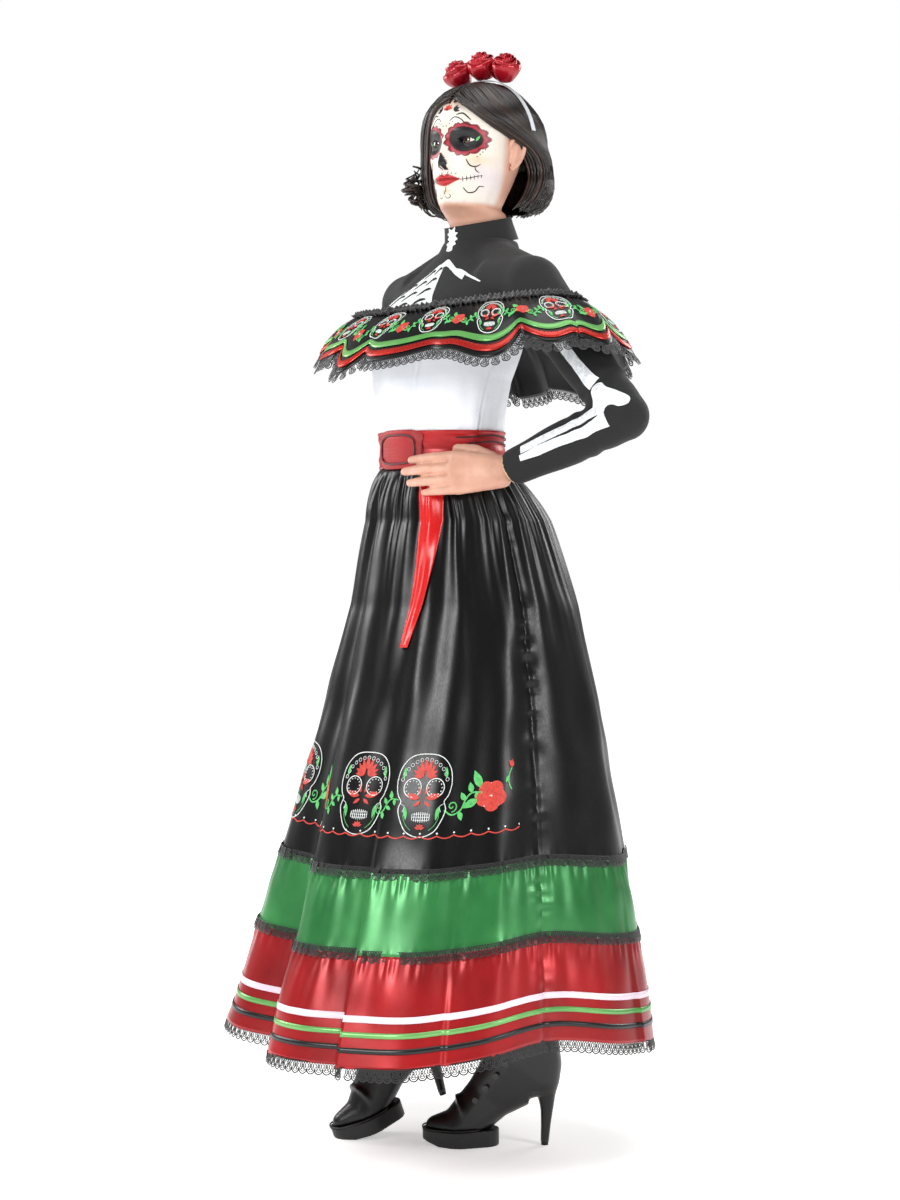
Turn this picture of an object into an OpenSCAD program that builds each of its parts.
// Life-size display figure of a catrina: a papier-mache body on a steel and wood armature,
// dressed in a printed top with a frilled neckline, a belt and a tiered satin skirt.
// Millimetres. +Z is up, the hips face -Y, the figure's left is +X, the floor is z = 0.

/* [Height levels] */
// Floor to the skirt's hem
hem_z = 199; // [190:1:205]
// Floor to the seam between the red and the green tier
red_top_z = 365; // [350:1:380]
// Floor to the seam between the green tier and the black panel
green_top_z = 488; // [470:1:500]
// Floor to the waist seam, where the skirt begins
waist_z = 1126; // [1120:1:1130]
// Height of the belt
belt_h = 60; // [50:1:62]
// Floor to the middle of the head
head_z = 1658; // [1652:1:1664]

/* [Skirt] */
// Radius of the skirt at the waist seam, before it opens
waist_r = 115; // [112:1:118]
// Radius that the skirt gains from waist to hem
flare = 217; // [200:1:225]
// Thickness of the lined satin
cloth = 2; // [1.5:0.1:2.5]

/* [Pose] */
// Turn of the chest over the hips, towards the figure's left, in degrees
chest_turn = 10; // [5:1:15]
// Turn of the head over the hips, towards the figure's left, in degrees
head_turn = 25; // [10:1:35]

/* [Boots] */
// Thickness of the boot's platform
platform_h = 28; // [24:1:30]
// Length from the toe to the middle of the heel tip
boot_l = 205; // [200:1:210]
// Lift of the right boot, which stands on its toe bevel, in degrees
toe_lift = 19; // [17:1:20]

/* [Joints] */
// Radius of the elbow balls
elbow_ball_r = 34; // [33:0.5:35]
// Radius of the elbow pins
elbow_pin_r = 4; // [3:0.5:5]
// Radius of the wrist pegs
wrist_peg_r = 6; // [5:0.5:7]
// Radius of the neck peg
neck_peg_r = 8; // [6:0.5:9]
// Swing of each elbow, in degrees
elbow_swing = 40; // [20:5:45]

/* [Hidden] */

fine = 64;      // segments of round parts that turn or fit
round_n = 40;   // points around the body
skirt_n = 48;   // points around the skirt
limb_n = 20;    // points around a leg
frill_n = 48;   // points around the frill
wall = 6;       // papier-mache wall
fit = 0.05;     // running clearance of a pin in its bore
gap = 0.5;      // air between two layers of cloth

// ---------- rings and walls ----------

// Turn of a point about the body's upright axis
function turned(p, a) = [p[0] * cos(a) - p[1] * sin(a), p[0] * sin(a) + p[1] * cos(a), p[2]];
// One oval ring of n points, with half widths a and b about centre c, turned about the upright axis
function oval(n, z, c, a, b, turn = 0) =
    [for (i = [0:n - 1]) turned([c[0] + a * cos(360 * i / n), c[1] + b * sin(360 * i / n), z], turn)];

function flat(rings) = [for (ring = rings) each ring];
// Side triangles between ring k and k + 1 of n points, first point number s
function side(s, n, rings, out) = [for (k = [0:rings - 2], i = [0:n - 1])
    let (a = s + k * n + i, b = s + k * n + (i + 1) % n, c = a + n, d = b + n)
    each out ? [[a, c, b], [b, c, d]] : [[a, b, c], [b, d, c]]];
// Flat ring of triangles that joins two rings, at s and t
function rim(s, t, n, up) = [for (i = [0:n - 1]) let (j = (i + 1) % n)
    each up ? [[s + i, t + i, s + j], [s + j, t + i, t + j]] : [[s + i, s + j, t + i], [s + j, t + j, t + i]]];
function cap(s, n, up) = [up ? [for (i = [n - 1:-1:0]) s + i] : [for (i = [0:n - 1]) s + i]];

// Solid through a stack of rings, closed at both ends
module stack(rings) {
    n = len(rings[0]);
    m = len(rings);
    polyhedron(flat(rings), concat(side(0, n, m, true), cap(0, n, false), cap((m - 1) * n, n, true)));
}

// Wall between an outer and an inner stack of rings, open at both ends
module tube(outer, inner) {
    n = len(outer[0]);
    m = len(outer);
    s = m * n;
    polyhedron(concat(flat(outer), flat(inner)), concat(
        side(0, n, m, true), side(s, n, m, false),
        rim(0, s, n, false), rim((m - 1) * n, s + (m - 1) * n, n, true)));
}

// Wall that is open below and closed above, such as a head
module cup(outer, inner) {
    n = len(outer[0]);
    m = len(outer);
    s = m * n;
    polyhedron(concat(flat(outer), flat(inner)), concat(
        side(0, n, m, true), side(s, n, m, false), rim(0, s, n, false),
        cap((m - 1) * n, n, true), cap(s + (m - 1) * n, n, false)));
}

// Plate between two grids of points, each rows x columns, that lie one over the other
module plate(top, bottom) {
    n = len(top[0]);
    m = len(top);
    s = m * n;
    q = function (a, b, c, d) [[a, c, b], [a, d, c]];
    polyhedron(concat(flat(top), flat(bottom)), concat(
        [for (k = [0:m - 2], i = [0:n - 2]) let (a = k * n + i) each q(a, a + n, a + n + 1, a + 1)],
        [for (k = [0:m - 2], i = [0:n - 2]) let (a = s + k * n + i) each q(a, a + 1, a + n + 1, a + n)],
        [for (i = [0:n - 2]) each q(i, i + 1, s + i + 1, s + i)],
        [for (i = [0:n - 2]) let (a = (m - 1) * n + i) each q(a + 1, a, s + a, s + a + 1)],
        [for (k = [0:m - 2]) let (a = k * n) each q(a + n, a, s + a, s + a + n)],
        [for (k = [0:m - 2]) let (a = k * n + n - 1) each q(a, a + n, s + a + n, s + a)]));
}

function unit(v) = v / norm(v);
// Moves the whole figure so that the origin is on the floor at the middle of its outline
plan_middle = [35, -19, 0];
module place() translate(-plan_middle) children();

// Puts a shape that stands on the Z axis along the line from p to q
module along(p, q) {
    v = q - p;
    translate(p) rotate([0, acos(v[2] / norm(v)), atan2(v[1], v[0])]) children();
}

// Round bar from p to q
module bar(p, q, r) along(p, q) cylinder(h = norm(q - p), r = r, $fn = fine);

// ---------- the body ----------

// Height, set-back, half width and half depth of the body under the clothes
BODY = [
    [850, 12, 160, 112], [930, 18, 170, 122], [1030, 5, 148, 108], [1090, -8, 130, 100],
    [1126, -13, 121, 94], [1160, -16, 117, 91], [1215, -17, 119, 94], [1270, -17, 126, 103],
    [1320, -10, 136, 115], [1360, 3, 145, 109], [1400, 18, 149, 96], [1430, 36, 144, 82],
    [1455, 48, 120, 70], [1480, 58, 80, 60], [1495, 62, 57, 56]
];
function body_col(k) = [for (s = BODY) [s[0], s[k]]];
function body_turn(z) = chest_turn * min(1, max(0, (z - 1160) / 140));
// Ring around the body at height z, d outside its surface
function body_ring(z, d) = oval(round_n, z, [0, lookup(z, body_col(1))],
    lookup(z, body_col(2)) + d, lookup(z, body_col(3)) + d, body_turn(z));
// Heights from z0 to z1 at which a garment gets a ring
function levels(z0, z1) = concat([z0], [for (s = BODY) if (s[0] > z0 + 1 && s[0] < z1 - 1) s[0]], [z1]);
module garment(z0, z1, inner, outer)
    tube([for (z = levels(z0, z1)) body_ring(z, outer)], [for (z = levels(z0, z1)) body_ring(z, inner)]);
// Point on the surface of the body, by angle round it (-90 is the front)
function body_point(z, t, d) = turned([(lookup(z, body_col(2)) + d) * cos(t),
    lookup(z, body_col(1)) + (lookup(z, body_col(3)) + d) * sin(t), z], body_turn(z));

chest_axis = [0, 62, 0];
neck_axis = turned(chest_axis, chest_turn);
neck_base_z = 1495;
block_z = 872;          // underside of the hip block
block_h = 60;
shoulder_z = 1425;
socket_h = 26;

module torso_shell() place() color("tan") garment(850, neck_base_z, -wall, 0);

module hip_block() place() color("burlywood") translate([0, 14, block_z])
    linear_extrude(block_h) hull() {
        for (x = [-86, 86]) translate([x, 0]) circle(r = 60, $fn = fine);
    }

spine_base = [0, 14, block_z + block_h];
spine_top = [neck_axis[0], neck_axis[1], neck_base_z - socket_h];
spine_r = 12;
spine_end = [0, 0, 1.2];    // its square ends stand off because it leans
module spine_rod() place() color("silver") bar(spine_base + spine_end, spine_top - spine_end, spine_r);

// Cross bar, bored for the spine rod, which carries both arms
module shoulder_bar() place() color("silver") {
    difference() {
        rotate([0, 0, chest_turn]) translate([-128, 24, 1395]) cube([256, 20, 20]);
        bar(spine_base, spine_top + [0, 0, 20], spine_r + 0.02);
    }
}

module neck_socket() place() color("burlywood") translate([neck_axis[0], neck_axis[1], neck_base_z - socket_h])
    difference() {
        cylinder(h = socket_h, r1 = 46, r2 = 48, $fn = fine);
        translate([0, 0, 3]) cylinder(h = socket_h, r = neck_peg_r + fit, $fn = fine);
    }

// ---------- legs and boots ----------

left_toe = [-34, -35, 0];
left_heel = [70, 141, 0];
right_toe = [-133, -148, 0];
left_turn = atan2(left_heel[1] - left_toe[1], left_heel[0] - left_toe[0]);
right_turn = 84;        // direction from the right toe to its heel
bevel_l = 28;           // length of the toe bevel under each platform
boot_top_z = 262;
// Frame of each boot: the toe is at the origin and the heel lies along +X
module left_boot_frame() translate(left_toe) rotate([0, 0, left_turn]) children();
module right_boot_frame()
    translate(right_toe) rotate([0, 0, right_turn]) translate([bevel_l, 0, 0])
    rotate([0, -toe_lift, 0]) translate([-bevel_l, 0, 0]) children();

// The same frames as functions, for the legs that stand in the boots
function from_left_boot(p) = left_toe + turned(p, left_turn);
function from_right_boot(p) = let (x = p[0] - bevel_l)
    right_toe + turned([bevel_l + x * cos(toe_lift) - p[2] * sin(toe_lift), p[1],
        x * sin(toe_lift) + p[2] * cos(toe_lift)], right_turn);

ankle = [168, 0, 150];  // middle of the ankle in the boot's frame
shin = [172, 0, 262];   // middle of the shaft's top
module boot_sole_outline() hull() {
    translate([26, 2]) circle(r = 25, $fn = 32);
    translate([62, -3]) circle(r = 38, $fn = 32);
    translate([102, 0]) circle(r = 27, $fn = 32);
}
module boot_platform() difference() {
    linear_extrude(platform_h) boot_sole_outline();
    translate([bevel_l, 0, 0]) rotate([0, toe_lift, 0]) translate([-80, -60, -30]) cube([80, 120, 30]);
}
// Upper: toe box, vamp, arch, heel cup and shaft, blended from round sections
heel_seat_z = 92;       // height at which the heel meets the upper
heel_seat_x = 206;
module bead(x, z, r) translate([x, 0, z]) sphere(r = r, $fn = 20);
module ball_bead() translate([62, -3, platform_h]) sphere(r = 34, $fn = 20);
module boot_upper() difference() {
    union() {
        hull() { translate([24, 2, platform_h]) sphere(r = 19, $fn = 20); ball_bead(); }
        hull() { ball_bead(); bead(104, 88, 30); bead(126, 72, 27); }
        hull() { bead(104, 88, 30); bead(126, 72, 27); bead(203, 109, 27); bead(150, 148, 40); }
        hull() { bead(150, 148, 40); bead(203, 109, 27); bead(205, 136, 29); }
        hull() { bead(150, 148, 40); bead(205, 136, 29);
            translate([172, 0, boot_top_z - 10]) cylinder(h = 10, r = 44, $fn = 20); }
    }
    translate([-50, -100, -60]) cube([300, 200, 60 + platform_h]);
    translate([heel_seat_x - 27, -60, 0]) cube([80, 120, heel_seat_z]);
    translate(ankle) cylinder(h = 200, r1 = 28.6, r2 = 48, $fn = fine);
}
module boot_heel() {
    waist = [209, 0, 72];
    hull() { translate([heel_seat_x, 0, heel_seat_z - 1]) cylinder(h = 1, r = 24, $fn = 24);
        translate(waist) cylinder(h = 1, r = 12, $fn = 24); }
    hull() { translate(waist) cylinder(h = 1, r = 12, $fn = 24);
        translate([boot_l, 0, 6]) cylinder(h = 1, r = 6.5, $fn = 24); }
}
module heel_tip() translate([boot_l, 0, 0]) cylinder(h = 6, r = 6, $fn = fine);
button_r = 5;
module boot_button_row() for (k = [0:4])
    translate([90 + 17 * k, 31.5 + 3.6 * k, 80 + 21 * k]) rotate([-90, 0, 0])
        cylinder(h = 4, r = button_r, $fn = fine);

module left_boot_upper() place() color("black") left_boot_frame() boot_upper();
module right_boot_upper() place() color("black") right_boot_frame() boot_upper();
module left_boot_platform() place() color("black") left_boot_frame() boot_platform();
module right_boot_platform() place() color("black") right_boot_frame() boot_platform();
module left_boot_heel() place() color("black") left_boot_frame() boot_heel();
module right_boot_heel() place() color("black") right_boot_frame() boot_heel();
module left_heel_tip() place() color("dimgray") left_boot_frame() heel_tip();
module right_heel_tip() place() color("dimgray") right_boot_frame() heel_tip();
module boot_buttons() place() color("black") {
    left_boot_frame() mirror([0, 1, 0]) boot_button_row();
    right_boot_frame() boot_button_row();
}

// Leg: hollow shell through rings from the hip down to the boot's shaft
function leg_ring(p, r, d) = oval(limb_n, p[2], [p[0], p[1]], r + d, r + d);
function leg_rings(hip, knee, calf, foot, d) = [
    leg_ring(foot, 25, d), leg_ring(calf, 44, d), leg_ring((calf + knee) / 2, 50, d),
    leg_ring(knee, 52, d), leg_ring((hip + knee) / 2, 66, d), leg_ring(hip, 76, d)];
left_ankle = from_left_boot(ankle + [0, 0, 2]);
right_ankle = from_right_boot(ankle + [0, 0, 8]);
left_calf = from_left_boot(shin + [0, 0, 80]);
right_calf = from_right_boot(shin + [-10, 0, 90]);
left_knee = [86, 40, 540];
right_knee = [-104, -24, 545];
left_hip = [82, 14, 846];
right_hip = [-82, 14, 846];
module left_leg() place() color("tan")
    tube(leg_rings(left_hip, left_knee, left_calf, left_ankle, 0),
         leg_rings(left_hip, left_knee, left_calf, left_ankle, -wall));
module right_leg() place() color("tan")
    tube(leg_rings(right_hip, right_knee, right_calf, right_ankle, 0),
         leg_rings(right_hip, right_knee, right_calf, right_ankle, -wall));

rod_r = 9;
// Steel rods from the hip block through the knee and the calf to the ankle, with a weld bead at each bend
module leg_rod(hip, knee, calf, foot) color("silver") {
    bar([hip[0], hip[1], block_z - 2], knee, rod_r);
    bar(knee, calf, rod_r);
    bar(calf, foot, rod_r);
    for (p = [knee, calf]) translate(p) sphere(r = rod_r + 2, $fn = fine);
}
module left_leg_rod() place() leg_rod(left_hip, left_knee, left_calf, left_ankle + [0, 0, 4]);
module right_leg_rod() place() leg_rod(right_hip, right_knee, right_calf, right_ankle + [0, 0, 4]);

// ---------- skirt ----------

skirt_len = waist_z - hem_z;
// Set-back of the skirt's middle, by height
SKIRT_Y = [[196, -18], [400, 1], [540, 10], [740, 24], [900, 28], [1040, 15], [1126, -12]];
function skirt_t(z) = (waist_z - z) / skirt_len;
function skirt_r(z) = waist_r + 20.5 + flare * skirt_t(z) - 20.5 * exp(-skirt_t(z) / 0.04);
function skirt_a(z) = skirt_r(z) + 10 * exp(-skirt_t(z) / 0.05);
function skirt_b(z) = skirt_r(z) - 17 * exp(-skirt_t(z) / 0.08);
// Hollows between the skirt's soft folds: angle round the body, half width in degrees, share of the radius
FOLDS = [[-93, 12, 0.19], [-56, 9, 0.04], [4, 20, 0.09], [92, 13, 0.08], [135, 11, 0.06], [180, 17, 0.09]];
// Where the side seams and the front right fold pull the hem up: angle, half width, height
LIFTS = [[2, 26, 32], [180, 28, 28], [-118, 20, 16]];
function away(t, c) = min(abs(t - c), abs(t - c + 360), abs(t - c - 360));
function swell(t, rows) = [for (row = rows) row[2] * exp(-pow(away(t, row[0]) / row[1], 2))] * [for (row = rows) 1];
function fold(z, t) = 1 - swell(t, FOLDS) * pow(max(0, skirt_t(z)), 1.3);
function lift(z, t) = swell(t, LIFTS) * pow(max(0, skirt_t(z)), 1.5);
// Point of the skirt by height and by angle round it (-90 is the front), d outside its lining
function skirt_point(z, t, d) = [(skirt_a(z) * fold(z, t) + d) * cos(t),
    lookup(z, SKIRT_Y) + (skirt_b(z) * fold(z, t) + d) * sin(t), z + lift(z, t)];
function skirt_ring(z, d) = [for (i = [0:skirt_n - 1]) skirt_point(z, 360 * i / skirt_n - 180, d)];
function skirt_levels(z0, z1) = concat([z0], [for (s = SKIRT_Y) if (s[0] > z0 + 1 && s[0] < z1 - 1) s[0]], [z1]);
// Band of cloth round the skirt, from inner to outer over the skirt's lining
module skirt_band(z0, z1, inner, outer)
    tube([for (z = skirt_levels(z0, z1)) skirt_ring(z, outer)], [for (z = skirt_levels(z0, z1)) skirt_ring(z, inner)]);

module skirt_panel() place() color("black") tube(
    [for (z = concat(skirt_levels(green_top_z, 1040), [1075, 1100, 1115, waist_z])) skirt_ring(z, cloth)],
    [for (z = concat(skirt_levels(green_top_z, 1040), [1075, 1100, 1115, waist_z])) skirt_ring(z, 0)]);
module skirt_green_tier() place() color("forestgreen") skirt_band(red_top_z, green_top_z, 0, cloth);
module skirt_red_tier() place() color("firebrick") skirt_band(hem_z, red_top_z, 0, cloth);

lace_h = 16;
trim = 1;       // thickness of lace and ribbon
module trim_band(z, h) skirt_band(z - h / 2, z + h / 2, cloth + 3 * gap, cloth + 3 * gap + trim);
module upper_seam_lace() place() color("black") trim_band(green_top_z - 2, lace_h);
module lower_seam_lace() place() color("black") trim_band(red_top_z - 2, lace_h);
module hem_lace() place() color("black") skirt_band(hem_z - 18, hem_z - gap, 0, trim);
ribbon_h = 10;
module white_hem_ribbon() place() color("white") trim_band(272, ribbon_h);
module green_hem_ribbon() place() color("limegreen") trim_band(249, ribbon_h);
module black_hem_ribbon() place() color("black") trim_band(226, ribbon_h);

// ---------- bodice, belt and collar ----------

bodice_top = 1360;
module bodice() place() color("white") garment(waist_z + gap, bodice_top, 1, 3);
module yoke() place() color("black") garment(bodice_top + gap, neck_base_z - 10, 1, 3);
module belt() place() color("red") garment(waist_z + gap, waist_z + belt_h, 4, 7);
buckle_mid = -78;       // angle of the buckle's middle, where -90 is the front
buckle_half = 27;       // half its width, in degrees
function buckle_grid(d) = [for (u = [-1:0.25:1]) [for (v = [-1:0.5:1])
    body_point(waist_z + belt_h / 2 + v * (belt_h / 2 + 2) * (1 - 0.3 * pow(abs(u), 5)),
        buckle_mid + buckle_half * u, d)]];
module buckle() place() color("darkred") plate(buckle_grid(11), buckle_grid(7.6));

// Tail of the sash: hangs from the belt down the front left of the skirt
sash_angle = -44;
sash_w = 46;
function sash_grid(d) = [for (k = [0:10]) let (z = waist_z - 10 - 28 * k, w = sash_w * (1 - 0.045 * k))
    [for (v = [-1:0.5:1]) skirt_point(z, sash_angle - 0.5 * k + v * w / 2 / skirt_r(z) * 57.3, d)]];
module sash_tail() place() color("red") plate(sash_grid(cloth + 3.5), sash_grid(cloth + 2));

collar_lean = 12;
module collar() place() color("black") translate([neck_axis[0], neck_axis[1], neck_base_z + 13]) rotate([0, 0, chest_turn])
    translate([0, 5, 0]) rotate([collar_lean, 0, 0]) difference() {
        cylinder(h = 34, r1 = 62, r2 = 56, $fn = fine);
        translate([0, 0, -1]) cylinder(h = 36, r1 = 60.2, r2 = 53.8, $fn = fine);
    }

// ---------- frill over the chest and the upper arms ----------

// Half widths of the frill by angle: it reaches further over the raised left arm
function frill_x(t, left, right) = cos(t) > 0 ? left * cos(t) : right * cos(t);
function frill_y(t, front, back) = sin(t) > 0 ? 12 + back * sin(t) : 12 + front * sin(t);
function frill_top(t) = [frill_x(t, 275, 232), frill_y(t, 106, 132),
    1392 + 12 * pow(cos(t), 2) - 8 * sin(t)];
function frill_low(t) = [frill_x(t, 362, 254), frill_y(t, 196, 204),
    1288 + (cos(t) > 0 ? 24 : 52) * pow(cos(t), 2) - (sin(t) > 0 ? 38 : 0) * pow(sin(t), 2)];
// Point at share s of the way down, d outside
function frill_point(t, s, d) = let (p = frill_top(t) * (1 - s) + frill_low(t) * s,
    bow = 14 * sin(180 * min(1, max(0, s))))
    turned(p + [(bow + d) * cos(t), (bow + d) * sin(t), 0.5 * bow + 0.7 * d], chest_turn);
function frill_ring(s, d) = [for (i = [0:frill_n - 1]) frill_point(360 * i / frill_n, s, d)];
module frill_band(s0, s1, inner, outer, steps = 1)
    tube([for (k = [steps:-1:0]) frill_ring(s0 + (s1 - s0) * k / steps, outer)],
         [for (k = [steps:-1:0]) frill_ring(s0 + (s1 - s0) * k / steps, inner)]);
module frill() place() color("black") frill_band(0, 1, 0, cloth, 4);
module frill_green_ribbon() place() color("limegreen") frill_band(0.70, 0.79, cloth + gap, cloth + gap + trim);
module frill_red_ribbon() place() color("red") frill_band(0.84, 0.93, cloth + gap, cloth + gap + trim);
module frill_lace() place() color("black") frill_band(1.005, 1.12, 0, trim);

// ---------- arms ----------

// Direction nearest to h that is square to v
function square_to(h, v) = unit(h - v * (h * v) / (v * v));
left_shoulder = turned([168, 35, shoulder_z - 8], chest_turn);
right_shoulder = turned([-160, 42, shoulder_z - 10], chest_turn);
left_elbow = [368, 112, 1200];
left_wrist = [177, 6, 1118];
left_finger = [80, -119, 1108];
left_hinge = square_to([-0.05, -0.60, 0.79], left_wrist - left_elbow);
right_elbow = [-204, 76, 1130];
right_wrist = [-237, 46, 898];
right_finger = [-284, 18, 742];
right_hinge = square_to([-0.995, 0, 0.098], right_wrist - right_elbow);
shoulder_r = 48;
upper_end = 42;         // distance of each tube's end from the elbow's middle
sleeve_end = 58;

// Half outline of the upper arm, d outside it, with a round shoulder
module arm_profile(l, d) polygon(concat(
    [for (k = [0:6]) (shoulder_r + d) * [sin(15 * k), -cos(15 * k)]],
    [[43 + d, 60], [38 + d, l * 0.62], [32 + d, l - 60], [27 + d, l - upper_end], [0, l - upper_end]]));
chest_block = [305, 340, 250];  // block that the shoulders stand outside
chest_corner = [-chest_block[0] / 2, -150, 1290];
// Keeps a shoulder clear of the chest's side
module clear_of_chest() difference() {
    children();
    rotate([0, 0, chest_turn]) translate(chest_corner) cube(chest_block);
}
module upper_arm(s, e) color("tan") clear_of_chest() along(s, e)
    rotate_extrude($fn = fine) arm_profile(norm(e - s), 0);
module upper_sleeve(s, e) color("black") clear_of_chest() along(s, e) difference() {
    l = norm(e - s);
    rotate_extrude($fn = fine) arm_profile(l, 3);
    cylinder(h = l + 80, r = 27.5, $fn = fine);
    rotate_extrude($fn = fine) arm_profile(l, gap);
    translate([0, 0, l - sleeve_end]) cylinder(h = 100, r = 80, $fn = fine);
}
module left_upper_arm() place() upper_arm(left_shoulder, left_elbow);
module right_upper_arm() place() upper_arm(right_shoulder, right_elbow);
module left_upper_sleeve() place() upper_sleeve(left_shoulder, left_elbow);
module right_upper_sleeve() place() upper_sleeve(right_shoulder, right_elbow);

tongue_t = 12;          // thickness of the tongue in the elbow's slot
tongue_r = 17;
slot_w = tongue_t + 0.6;
// Direction, in the plane square to the hinge, in which the middle of the swept forearm lies
function sweep_mid(e, w, h, turn) = let (f = unit(w - e), s = unit(cross(h, f))) cos(turn) * f + sin(turn) * s;
// Elbow: a wooden ball, split by a slot in which the forearm's tongue turns
module elbow_fork(s, e, w, hinge, turn) color("burlywood") {
    u = unit(s - e);
    h = unit(hinge);
    m = sweep_mid(e, w, h, turn);
    difference() {
        union() {
            translate(e) sphere(r = elbow_ball_r, $fn = fine);
            bar(e, e + u * upper_end, 24);
        }
        difference() {
            along(e - h * slot_w / 2, e + h) cylinder(h = slot_w, r = 60, $fn = fine);
            along(e - m * (tongue_r + 1), e - m * 80) cylinder(h = 80, r = 80, $fn = fine);
        }
        along(e - h * 60, e) cylinder(h = 120, r = elbow_pin_r + 0.02, $fn = fine);
    }
}
module elbow_pin(e, hinge) color("silver") {
    h = hinge / norm(hinge);
    along(e - h * (elbow_ball_r - 3), e) cylinder(h = 2 * elbow_ball_r - 6, r = elbow_pin_r, $fn = fine);
}
module left_elbow_fork() place() elbow_fork(left_shoulder, left_elbow, left_wrist, left_hinge, elbow_swing / 2);
module right_elbow_fork() place() elbow_fork(right_shoulder, right_elbow, right_wrist, right_hinge, elbow_swing / 2);
module left_elbow_pin() place() elbow_pin(left_elbow, left_hinge);
module right_elbow_pin() place() elbow_pin(right_elbow, right_hinge);

peg_in = 45;            // depth of the wrist peg in the forearm
module forearm_profile(l, d) polygon([
    [0, 40], [23 + d, 40], [31 + d, 62], [35 + d, 95], [31 + d, 150], [25 + d, l - 12], [0, l - 12]]);
module forearm(e, w, hinge) color("tan") {
    l = norm(w - e);
    h = hinge / norm(hinge);
    u = (w - e) / l;
    difference() {
        union() {
            along(e, w) rotate_extrude($fn = fine) forearm_profile(l, 0);
            along(e - h * tongue_t / 2, e + h) cylinder(h = tongue_t, r = tongue_r, $fn = fine);
            intersection() {
                along(e - h * tongue_t / 2, e + h) cylinder(h = tongue_t, r = 60, $fn = fine);
                bar(e, e + u * 50, 8.5);
            }
        }
        along(e - h * 20, e) cylinder(h = 40, r = elbow_pin_r + fit, $fn = fine);
        along(w - u * (12 + peg_in), w) cylinder(h = peg_in + 20, r = wrist_peg_r + fit, $fn = fine);
    }
}
module forearm_sleeve(e, w) color("black") along(e, w) difference() {
    l = norm(w - e);
    rotate_extrude($fn = fine) forearm_profile(l, 3);
    rotate_extrude($fn = fine) forearm_profile(l, gap);
    translate([0, 0, l - 14]) cylinder(h = 40, r = 60, $fn = fine);
    translate([0, 0, -20]) cylinder(h = sleeve_end + 20, r = 60, $fn = fine);
    cylinder(h = l + 20, r = 25.2, $fn = fine);
}
module wrist_peg(e, w) color("silver") {
    u = (w - e) / norm(w - e);
    bar(w - u * (12 + peg_in - 1), w + u * 20, wrist_peg_r);
}
module left_forearm() place() forearm(left_elbow, left_wrist, left_hinge);
module right_forearm() place() forearm(right_elbow, right_wrist, right_hinge);
module left_forearm_sleeve() place() forearm_sleeve(left_elbow, left_wrist);
module right_forearm_sleeve() place() forearm_sleeve(right_elbow, right_wrist);
module left_wrist_peg() place() wrist_peg(left_elbow, left_wrist);
module right_wrist_peg() place() wrist_peg(right_elbow, right_wrist);

// ---------- hands ----------

// Across, start, bend and length of each finger, from the index to the little finger
FINGERS = [[-27, 82, 0, 72], [-9, 88, 0, 78], [10, 85, 3, 73], [27, 77, 6, 58]];
FINGER_R = [8.6, 8.8, 8.4, 7.4];
// Hand in its own frame: fingers along +X, thumb side at -Y, back of the hand at +Z.
// curl bends palm and fingers towards -Z, in degrees at each knuckle.
// thumb_out places the thumb's middle and tip: out to its side, then towards the palm.
module hand(curl, side, thumb_out) {
    function bent(p, l, a) = p + l * [cos(a), 0, -sin(a)];
    module link(p, q, r1, r2) hull() {
        translate(p) sphere(r = r1, $fn = 12);
        translate(q) sphere(r = r2, $fn = 12);
    }
    hull() {
        translate([4, -13, 0]) sphere(r = 14, $fn = 12);
        translate([4, 13, 0]) sphere(r = 14, $fn = 12);
        for (k = [0:3]) translate([FINGERS[k][1], side * FINGERS[k][0], 0]) sphere(r = FINGER_R[k] + 1.5, $fn = 12);
    }
    for (k = [0:3]) {
        p = [FINGERS[k][1], side * FINGERS[k][0], 0];
        l = FINGERS[k][3];
        q = bent(p, l * 0.46, curl * 0.8);
        s = bent(q, l * 0.3, curl * 1.7);
        link(p, q, FINGER_R[k] + 0.8, FINGER_R[k]);
        link(q, s, FINGER_R[k], FINGER_R[k] - 0.7);
        link(s, bent(s, l * 0.24, curl * 2.3), FINGER_R[k] - 0.7, FINGER_R[k] - 1.8);
    }
    t0 = [20, -22 * side, -4];
    t1 = [46, -thumb_out[0] * side, -thumb_out[1]];
    t2 = [74, -thumb_out[2] * side, -thumb_out[3]];
    link(t0, t1, 12, 10);
    link(t1, t2, 10, 8.5);
}
// Axes of a hand that runs from w to f with its back towards out
module hand_frame(w, f, out) {
    x = unit(f - w);
    y = unit(cross(out, x));
    z = cross(x, y);
    multmatrix([[x[0], y[0], z[0], w[0]], [x[1], y[1], z[1], w[1]], [x[2], y[2], z[2], w[2]], [0, 0, 0, 1]])
        children();
}
left_out = [0.80, -0.60, 0.12];
right_out = [-1, 0.12, 0];
module left_hand() place() color("bisque") difference() {
    hand_frame(left_wrist, left_finger, left_out) rotate([0, -14, 0]) hand(15, 1, [38, 12, 42, 18]);
    peg_hole(left_elbow, left_wrist);
    past_wrist(left_elbow, left_wrist);
}
module right_hand() place() color("bisque") difference() {
    hand_frame(right_wrist, right_finger, right_out) rotate([0, -6, 0]) hand(9, -1, [42, 14, 46, 22]);
    peg_hole(right_elbow, right_wrist);
    past_wrist(right_elbow, right_wrist);
}
peg_back = 40;          // how far before the wrist the peg's hole is cut from
peg_hole_l = 61;
wrist_face = 11.5;      // distance of the hand's flat face before the wrist
cut_l = 60;             // size of the block that cuts it
module peg_hole(e, w) along(w - unit(w - e) * peg_back, w)
    cylinder(h = peg_hole_l, r = wrist_peg_r + 0.4, $fn = 24);
// Half space behind the wrist's flat face, where the forearm is
module past_wrist(e, w) along(w - unit(w - e) * (wrist_face + cut_l), w)
    cylinder(h = cut_l, r = cut_l, $fn = 24);

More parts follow.
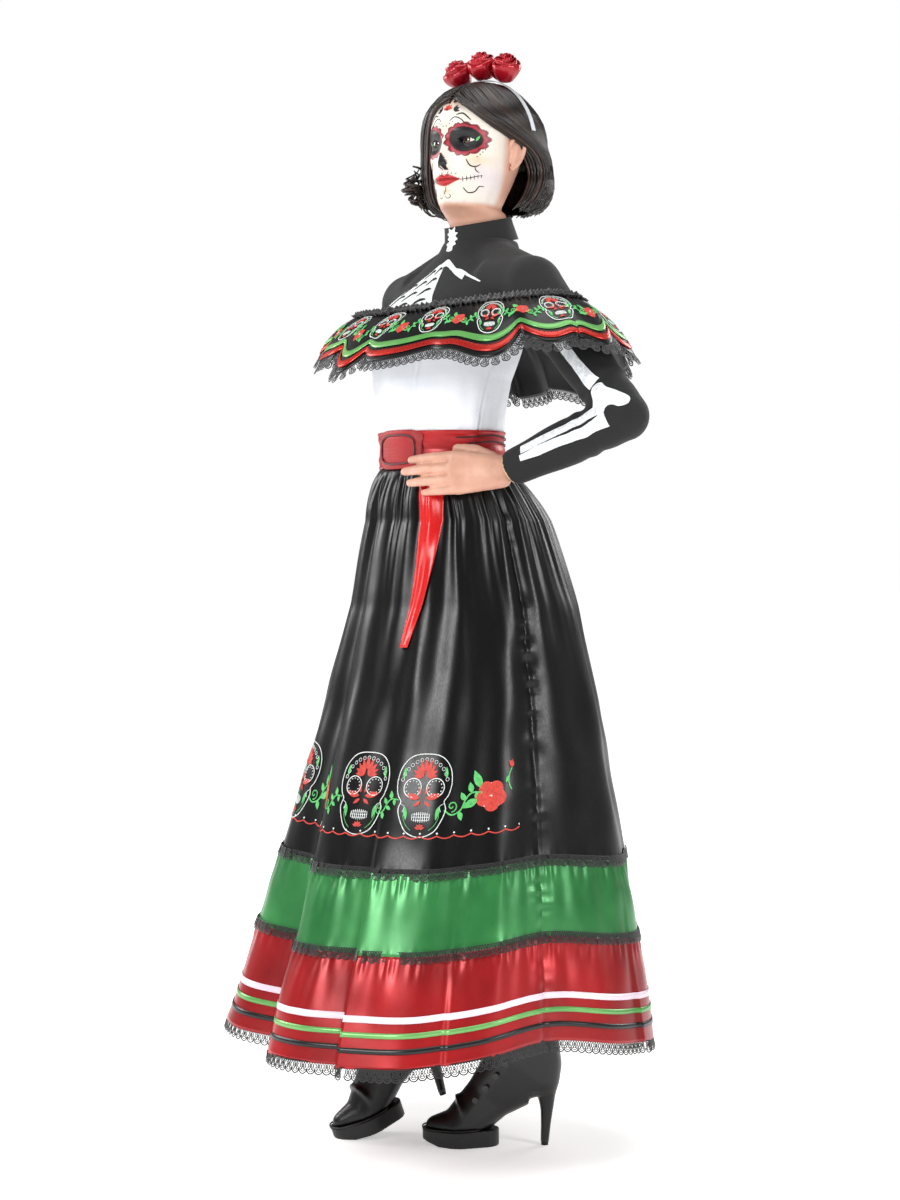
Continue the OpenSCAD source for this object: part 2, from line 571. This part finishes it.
// ---------- head ----------

// Height over the head's middle, set-back, half width and half depth of head and neck
HEAD = [
    [-158, 0, 49, 49], [-122, 0, 49, 49], [-104, -12, 49, 58], [-95, -26, 46, 64], [-78, -25, 54, 68],
    [-50, -17, 62, 76], [-20, -9, 67, 84], [12, -5, 70, 90], [42, -3, 70, 90], [66, -1, 64, 83],
    [86, 0, 50, 66], [97, 0, 31, 43], [102, 0, 12, 17]
];
// Ring of the head, d outside its surface
function head_ring(s, d) = oval(32, s[0] + (s[0] > 90 ? d : 0), [0, s[1]], s[2] + d, s[3] + d);
function head_rings(d) = [for (s = HEAD) head_ring(s, d)];
module head_frame() translate([neck_axis[0], neck_axis[1], head_z]) rotate([0, 0, head_turn]) children();

module head_shell() place() color("antiquewhite") head_frame() {
    difference() {
        union() {
            cup(head_rings(0), head_rings(-wall));
            translate([0, 0, HEAD[0][0] + 10]) cylinder(h = 14, r = 45, $fn = 32);
            hull() {
                translate([0, -91, 4]) sphere(r = 6, $fn = 12);
                translate([0, -100, -26]) sphere(r = 8, $fn = 12);
                translate([0, -80, -30]) sphere(r = 13, $fn = 12);
            }
        }
        translate([0, 0, HEAD[0][0]]) cylinder(h = 30, r = neck_peg_r + 0.4, $fn = 32);
        for (x = [-31, 31]) translate([x, -66, 10]) sphere(r = 13, $fn = 24);
    }
}
module neck_peg() place() color("silver") translate([neck_axis[0], neck_axis[1], neck_base_z - socket_h + 4])
    cylinder(h = 50, r = neck_peg_r, $fn = fine);
module glass_eyes() place() color("white") head_frame()
    for (x = [-31, 31]) translate([x, -66, 10]) sphere(r = 12, $fn = 32);

// Bob-cut wig: fullest at the jaw, curled in at its ends, open over the face and below
WIG = [
    [-104, 16, 84, 82], [-92, 16, 102, 104], [-70, 16, 112, 121], [-45, 15, 114, 126], [-15, 13, 110, 126]
];
wig_w = 106;            // half width, half depth and height of its crown
wig_d = 123;
wig_h = 120;
wig_crown = [20, 45, 68, 86, 98, 107, 114, 118];
function crown(z) = sqrt(1 - pow(z / (wig_h + 1), 2));
module wig() place() color("black") head_frame() difference() {
    stack(concat([for (s = WIG) oval(32, s[0], [0, s[1]], s[2], s[3])],
        [for (z = wig_crown) oval(32, z, [0, 9], wig_w * crown(z), wig_d * crown(z))]));
    stack(concat([oval(32, -170, [0, 12], 72, 66), oval(32, -78, [0, 4], 74, 76)],
        [for (s = HEAD) if (s[0] > -60) oval(32, s[0] + (s[0] > 90 ? 1.5 : 0), [0, s[1]], s[2] + 1.5, s[3] + 1.5)]));
    hull() {
        translate([-50, -160, -130]) cube([100, 108, 130]);
        translate([-46, -160, 0]) cube([92, 98, 40]);
        translate([2, -160, 62]) cube([10, 90, 2]);
    }
}

// Headband with its three roses, which lifts off the wig
band_gap = 2.5;         // air between the hair and the hoop
band_low = 30;          // height at which the hoop's ends slip into the hair
band_w = 9;             // width of the hoop's strip
band_t = 1.6;           // thickness of the strip
crown_y = 9;            // how far back of the head's middle the crown's middle is
module headband() place() color("whitesmoke") head_frame() translate([0, crown_y, 0]) intersection() {
    hoop(wig_w + band_gap, wig_h + 1 + band_gap, band_w, band_t);
    translate([-wig_h * 1.2, -3 * band_w, band_low]) cube([2.4 * wig_h, 6 * band_w, 2 * wig_h]);
}
// Flat oval hoop that stands across the head: half width w, half height h, band width b, thickness t
module hoop(w, h, b, t) translate([0, b / 2, 0]) rotate([90, 0, 0]) linear_extrude(b) difference() {
    polygon([for (i = [0:71]) [(w + t) * cos(5 * i), (h + t) * sin(5 * i)]]);
    polygon([for (i = [0:71]) [w * cos(5 * i), h * sin(5 * i)]]);
}
rose_r = 25;
rose_step = 19;         // angle from one rose to the next round the hoop
rose_out = 152;         // distance of each rose from the head's middle
rose_flat = 24;         // distance of its flat underside from its middle
// Each rose is flat where it is sewn to the hoop
module roses() place() color("crimson") head_frame() translate([0, crown_y, 0])
    for (a = [-1, 0, 1]) rotate([0, a * rose_step, 0]) translate([0, 0, rose_out]) difference() {
        sphere(r = rose_r, $fn = fine);
        translate([-50, -50, -100 - rose_flat]) cube([100, 100, 100]);
    }

hip_block();
spine_rod();
shoulder_bar();
left_leg_rod();
right_leg_rod();
torso_shell();
neck_socket();
left_leg();
right_leg();
left_boot_upper();
right_boot_upper();
left_boot_platform();
right_boot_platform();
left_boot_heel();
right_boot_heel();
left_heel_tip();
right_heel_tip();
boot_buttons();
skirt_panel();
skirt_green_tier();
skirt_red_tier();
upper_seam_lace();
lower_seam_lace();
hem_lace();
white_hem_ribbon();
green_hem_ribbon();
black_hem_ribbon();
bodice();
yoke();
collar();
frill();
frill_green_ribbon();
frill_red_ribbon();
frill_lace();
belt();
buckle();
sash_tail();
left_upper_arm();
right_upper_arm();
left_upper_sleeve();
right_upper_sleeve();
left_elbow_fork();
right_elbow_fork();
left_elbow_pin();
right_elbow_pin();
left_forearm();
right_forearm();
left_forearm_sleeve();
right_forearm_sleeve();
left_hand();
right_hand();
left_wrist_peg();
right_wrist_peg();
head_shell();
neck_peg();
glass_eyes();
wig();
headband();
roses();
